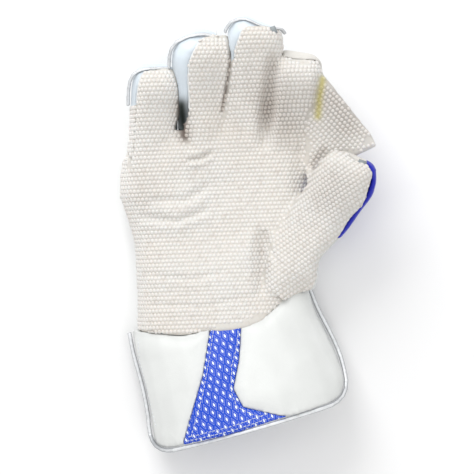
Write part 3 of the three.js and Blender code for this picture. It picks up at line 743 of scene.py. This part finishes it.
# Each tab's node, place in plan, turn in degrees, width and length. It is a folded strip of leather,
# two layers of points that bend up in the middle.
TAB_THICKNESS = 0.8
TAB_BEND = 0.9
TAB_HEIGHT = 0.074
TAB_ROWS = 6
TAB_COLUMNS = 4
TABS = [
    ("middle_seam_tab", "middle_piping", (18.6, 143.5), 20, 4.2, 5.4),
    ("web_seam_tab", "web_back", (83.0, 54.5), 68, 4.0, 6.0),
]
for name, node, place, turn, wide, long in TABS:
    tab_tree = tree_of([palm.data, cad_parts[node].data])
    root = tab_tree.find_nearest(Vector((place[0] * MM, place[1] * MM, TAB_HEIGHT)))[0]
    around = math.radians(turn)
    across = Vector((math.cos(around), math.sin(around), 0))
    ahead = Vector((-math.sin(around), math.cos(around), 0))
    made, faces = [], []
    for layer in (0.0, TAB_THICKNESS):
        for i in range(TAB_ROWS):
            share = i / (TAB_ROWS - 1)
            for j in range(TAB_COLUMNS):
                bend = math.sin(share * math.pi) * TAB_BEND
                side = (j / (TAB_COLUMNS - 1) - 0.5) * wide * (1 - 0.12 * share)
                spot = across * side + ahead * (share - 0.35) * long
                made.append(root + (spot + Vector((0, 0, bend + layer - TAB_THICKNESS / 2))) * MM)
    upper = TAB_ROWS * TAB_COLUMNS
    for i in range(TAB_ROWS - 1):
        for j in range(TAB_COLUMNS - 1):
            a = i * TAB_COLUMNS + j
            b = a + TAB_COLUMNS
            faces.append((a, b, b + 1, a + 1))
            faces.append((a + upper, a + upper + 1, b + upper + 1, b + upper))
    rim = [0, 1, 2, 3, 7, 11, 15, 19, 23, 22, 21, 20, 16, 12, 8, 4]
    for a, b in zip(rim, rim[1:] + rim[:1]):
        faces.append((a, b, b + upper, a + upper))
    small_piece(name, made, faces, tab_leather, "side_leather")


# Cuff
# Two layers of white leather over stiff foam, with a printed blue panel let into the front. It
# flares from the wrist to its mouth, and the back layer stands out under the front one.
STRIPE_BLUE = "#0645C6"
STRIPE_LIGHT = "#EAF0F8"
CUFF_GREY = "#CFD1D3"
# The lattice: its turn, the width and length of a cell, and its spots and rings in shares of a cell.
LATTICE_TURN = math.radians(-28)
LATTICE_WIDTH = 6.6 * MM
LATTICE_LENGTH = 8.8 * MM
SPOT_SIZE = 0.15
RING_SIZE = 0.32
RING_WIDTH = 0.022
RING_STRENGTH = 0.42


def printed_leather(name):
    """Blue leather with a screen-printed lattice of small white diamonds in thin pale outlines."""
    finish, tree, shader = new_finish(name, Roughness=0.5, IOR=1.42)
    place = add_node(tree, "ShaderNodeTexCoord").outputs["Object"]
    turned = add_node(tree, "ShaderNodeMapping", {"Rotation": (0, 0, LATTICE_TURN)}, {"Vector": place})
    scaled = add_node(tree, "ShaderNodeMapping", {"Scale": (1 / LATTICE_WIDTH, 1 / LATTICE_LENGTH, 1)},
                      {"Vector": turned.outputs[0]})
    parts = add_node(tree, "ShaderNodeSeparateXYZ", links={0: scaled.outputs[0]})

    def maths(operation, *values):
        numbers = {i: v for i, v in enumerate(values) if isinstance(v, float)}
        links = {i: v for i, v in enumerate(values) if not isinstance(v, float)}
        return add_node(tree, "ShaderNodeMath", {"operation": operation, **numbers}, links).outputs[0]

    def from_centre(part, shift):
        """How far a point is from the middle of its cell, in cells."""
        return maths("ABSOLUTE", maths("SUBTRACT", maths("FRACT", maths("ADD", part, shift)), 0.5))

    def diamond(shift):
        across, along = [from_centre(parts.outputs[i], shift) for i in range(2)]
        return maths("ADD", maths("MULTIPLY", across, 1.25), maths("MULTIPLY", along, 0.75))

    field = maths("MINIMUM", diamond(0.0), diamond(0.5))
    spot = maths("LESS_THAN", field, SPOT_SIZE)
    ring = maths("LESS_THAN", maths("ABSOLUTE", maths("SUBTRACT", field, RING_SIZE)), RING_WIDTH)
    light = maths("MAXIMUM", spot, maths("MULTIPLY", ring, RING_STRENGTH))
    mixed = add_node(tree, "ShaderNodeMix", {"data_type": "RGBA"}, {0: light})
    mixed.inputs[6].default_value = linear(STRIPE_BLUE)
    mixed.inputs[7].default_value = linear(STRIPE_LIGHT)
    tree.links.new(mixed.outputs[2], shader.inputs["Base Color"])
    grain = add_node(tree, "ShaderNodeTexVoronoi", {"Scale": 1100.0}, {"Vector": place})
    bump(tree, shader, grain.outputs["Distance"], 0.2, 0.0002)
    return finish


# A bright blue broken up by white spots, which looks paler from a distance.
stripe_finish = printed_leather("screen_printed_blue_leather")
# A silvery grey that sets the back layer off from the white front at the mouth.
grey_leather = glazed_leather("silver_grey_glazed_leather", CUFF_GREY, 0.4)
CUFF_PIECES = [
    ("cuff_left_leather", "cuff_left_panel", white_leather, "white_leather"),
    ("cuff_right_leather", "cuff_right_panel", white_leather, "white_leather"),
    ("cuff_printed_stripe", "cuff_stripe", stripe_finish, "printed_leather"),
    ("cuff_back_leather", "cuff_back", grey_leather, "white_leather"),
]
cuff = {}
for name, node, finish, slot in CUFF_PIECES:
    piece = soft_piece(name, [node], 1.2, 8, held=0.12, swell=0.12)
    pulled(piece, [node])
    moved(piece, pillowed(1.8, 7))
    moved(piece, rolling(26, 0.9, 5.5))
    piece.data.materials.append(finish)
    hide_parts(node)
    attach(piece, "root")
    cuff[name] = piece


# Stitching
# Bonded white polyester thread, sewn through the cuff and along the edges of its printed panel in
# straight lock stitches: each stitch is a short run of thread pulled down at both its ends.
THREAD_WHITE = "#E9ECEF"
THREAD_SHADE = "#C9CED3"
STITCH_STEP = 3.0
STITCH_LENGTH = 2.2
THREAD_RADIUS = 0.25
# A stitch is a bent tube of so many rings and sides, laid along points a quarter millimetre apart.
STITCH_RINGS = 5
STITCH_SIDES = 6
LINE_STEP = 0.25


def stitches(name, sheet, lines, finish, slot):
    """Short arched runs of thread laid at equal steps along lines in plan, on a sheet's upper face."""
    tree = tree_of([sheet.data])
    points, faces = [], []
    for line in lines:
        spots = []
        for a, b in zip(line, line[1:]):
            count = max(int(math.dist(a, b) / LINE_STEP), 1)
            for i in range(count):
                x, y = [p + (q - p) * i / count for p, q in zip(a, b)]
                spots.append(met_from_above(tree, x, y))
        spots = [(spot, face) for spot, face in spots if spot is not None]
        stride, run = int(STITCH_STEP / LINE_STEP), int(STITCH_LENGTH / LINE_STEP)
        for first in range(0, len(spots) - run, stride):
            start = len(points)
            for i in range(STITCH_RINGS):
                spot, face = spots[first + run * i // (STITCH_RINGS - 1)]
                ahead = (spots[first + run][0] - spots[first][0]).normalized()
                side = ahead.cross(face).normalized()
                arch = math.sin(math.pi * i / (STITCH_RINGS - 1)) ** 0.5
                lift = THREAD_RADIUS * (0.1 + 0.9 * arch) - 0.1
                for j in range(STITCH_SIDES):
                    angle = 2 * math.pi * j / STITCH_SIDES
                    offset = side * math.cos(angle) + face * math.sin(angle)
                    points.append(spot + (offset * THREAD_RADIUS + face * lift) * MM)
            last = start + (STITCH_RINGS - 1) * STITCH_SIDES
            for ring in range(start, last, STITCH_SIDES):
                for j in range(STITCH_SIDES):
                    k = (j + 1) % STITCH_SIDES
                    faces.append((ring + j, ring + k, ring + STITCH_SIDES + k, ring + STITCH_SIDES + j))
            faces.append(tuple(start + j for j in range(STITCH_SIDES - 1, -1, -1)))
            faces.append(tuple(last + j for j in range(STITCH_SIDES)))
    small_piece(name, points, faces, finish, slot)


# A crisp white with a faint twist in it, a little glossier than the leather round it.
thread, thread_tree, thread_shader = new_finish("bonded_polyester_thread", Roughness=0.5, IOR=1.55)
thread_place = add_node(thread_tree, "ShaderNodeTexCoord").outputs["Object"]
twist = add_node(thread_tree, "ShaderNodeTexNoise", {"Scale": 1500.0}, {"Vector": thread_place})
twisted = ramp(thread_tree, twist.outputs[0], [(0.3, linear(THREAD_SHADE)), (0.7, linear(THREAD_WHITE))])
thread_tree.links.new(twisted.outputs[0], thread_shader.inputs["Base Color"])
bump(thread_tree, thread_shader, twist.outputs[0], 0.4, 0.0002)
STRIPE_STITCHES = [
    [(-25, -70), (-28, -91), (-32, -113), (-37.5, -134), (-41, -146)],
    [(-7, -67), (-8, -81), (-12, -95), (-12, -114), (-8, -124), (2, -129), (11, -131)],
    [(-43, -146), (-13, -138), (16, -128)],
    [(-44, -149), (-13, -141), (18, -131)],
]
CUFF_EDGE_STITCHES = [[(-80, -76), (-79, -92), (-74, -110), (-70, -128), (-66, -142)]]
stitches("cuff_left_stitching", cuff["cuff_left_leather"], CUFF_EDGE_STITCHES, thread, "white_leather")
stitches("stripe_stitching", cuff["cuff_printed_stripe"], STRIPE_STITCHES, thread, "printed_leather")


# Piping
# Cords covered in silvery coated leather, sewn into the edge of the cuff's front and round three
# fingertips to stiffen them.
PIPING_SILVER = "#E8EAEC"
# The grey of the cord's sides: painted shade.
PIPING_SIDE_SHADE = "#83878C"


def coated_piping(name):
    """A polyurethane-coated cover with a silvery pigment and a soft metallic gloss, with a painted
    highlight on its upward crown and painted shade down its sides.
    """
    finish, tree, shader = new_finish(name, Roughness=0.34, IOR=1.5, Metallic=0.2)
    place = add_node(tree, "ShaderNodeTexCoord").outputs["Object"]
    folds = add_node(tree, "ShaderNodeTexNoise", {"Scale": 300.0, "Detail": 3.0}, {"Vector": place})
    base = linear(PIPING_SILVER)
    shade = ramp(tree, folds.outputs[0], [(0.3, [c * 0.82 for c in base[:3]] + [1.0]), (0.6, base)])
    lit_crown = add_node(tree, "ShaderNodeAttribute", {"attribute_name": "lit_crown"})
    darkened = add_node(tree, "ShaderNodeMix", {"data_type": "RGBA"},
                      {0: lit_crown.outputs["Fac"], 7: shade.outputs[0]})
    darkened.inputs[6].default_value = linear(PIPING_SIDE_SHADE)
    tree.links.new(darkened.outputs[2], shader.inputs["Base Color"])
    bump(tree, shader, folds.outputs[0], 0.2, 0.0003)
    return finish


# A painted bright line on top and painted grey shade down each side, which gives the cuff its drawn
# outline.
piping_finish = coated_piping("silver_coated_piping")
for node in ("cuff_piping", "little_piping", "ring_piping", "middle_piping"):
    piece = soft_piece(node + "_cord", [node], 0.6, 6, held=0.8)
    pulled(piece, [node])
    # How much each point faces up: the upward points take the painted highlight, the rest painted shade.
    facing = vertex_normals(piece.data)[:, 2]
    lit_crown = piece.data.attributes.new("lit_crown", "FLOAT", "POINT")
    lit_crown.data.foreach_set("value", np.clip((facing - UPWARD) / 0.4, 0, 1))
    piece.data.materials.append(piping_finish)
    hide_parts(node)
    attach(piece, "root")


# Studio
# A pale floor that runs past the view, broad soft lights and a long lens straight above the palm.
FLOOR_WHITE = "#F4F4F4"
FLOOR_REACH = 3
FLOOR_HEIGHT = -0.0004
floor_mesh = bpy.data.meshes.new("floor")
corners = [(-FLOOR_REACH, -FLOOR_REACH), (FLOOR_REACH, -FLOOR_REACH), (FLOOR_REACH, FLOOR_REACH),
           (-FLOOR_REACH, FLOOR_REACH)]
floor_mesh.from_pydata([(x, y, FLOOR_HEIGHT) for x, y in corners], [], [(0, 1, 2, 3)])
floor = bpy.data.objects.new("floor", floor_mesh)
bpy.context.scene.collection.objects.link(floor)
# A plain near-white that takes the glove's soft shadow.
paper, _, paper_shader = new_finish("matt_paper", Roughness=0.9)
paper_shader.inputs["Base Color"].default_value = linear(FLOOR_WHITE)
floor_mesh.materials.append(paper)

VIEW_SIDE_MM = 341.0
VIEW_CENTRE = (-8.06, -2.65)
CAMERA_HEIGHT = 1.9
PALM_HEIGHT = 0.045
SENSOR_WIDTH = 36
camera = bpy.data.objects.new("camera", bpy.data.cameras.new("camera"))
bpy.context.scene.collection.objects.link(camera)
camera.data.sensor_width = SENSOR_WIDTH
camera.data.lens = SENSOR_WIDTH * (CAMERA_HEIGHT - PALM_HEIGHT) / (VIEW_SIDE_MM * MM)
camera.location = (VIEW_CENTRE[0] * MM, VIEW_CENTRE[1] * MM, CAMERA_HEIGHT)
bpy.context.scene.camera = camera

# Each light's place, size across in metres and power in watts.
LIGHTS = [
    ("key", (-0.5, 1.1, 0.9), 0.9, 13.0),
    ("fill", (0.6, -0.9, 1.2), 1.4, 4.5),
    ("top", (0.0, 0.1, 1.7), 1.4, 6.0),
]
for name, place, size, power in LIGHTS:
    light = bpy.data.objects.new(name, bpy.data.lights.new(name, "AREA"))
    bpy.context.scene.collection.objects.link(light)
    light.data.size, light.data.energy = size, power
    light.location = place
    light.rotation_euler = (-Vector(place)).to_track_quat("-Z", "Y").to_euler()
world = bpy.data.worlds.new("studio")
bpy.context.scene.world = world
world.use_nodes = True
world.node_tree.nodes["Background"].inputs[0].default_value = (1, 1, 1, 1)
world.node_tree.nodes["Background"].inputs[1].default_value = 0.62
bpy.context.scene.view_settings.view_transform = "Standard"
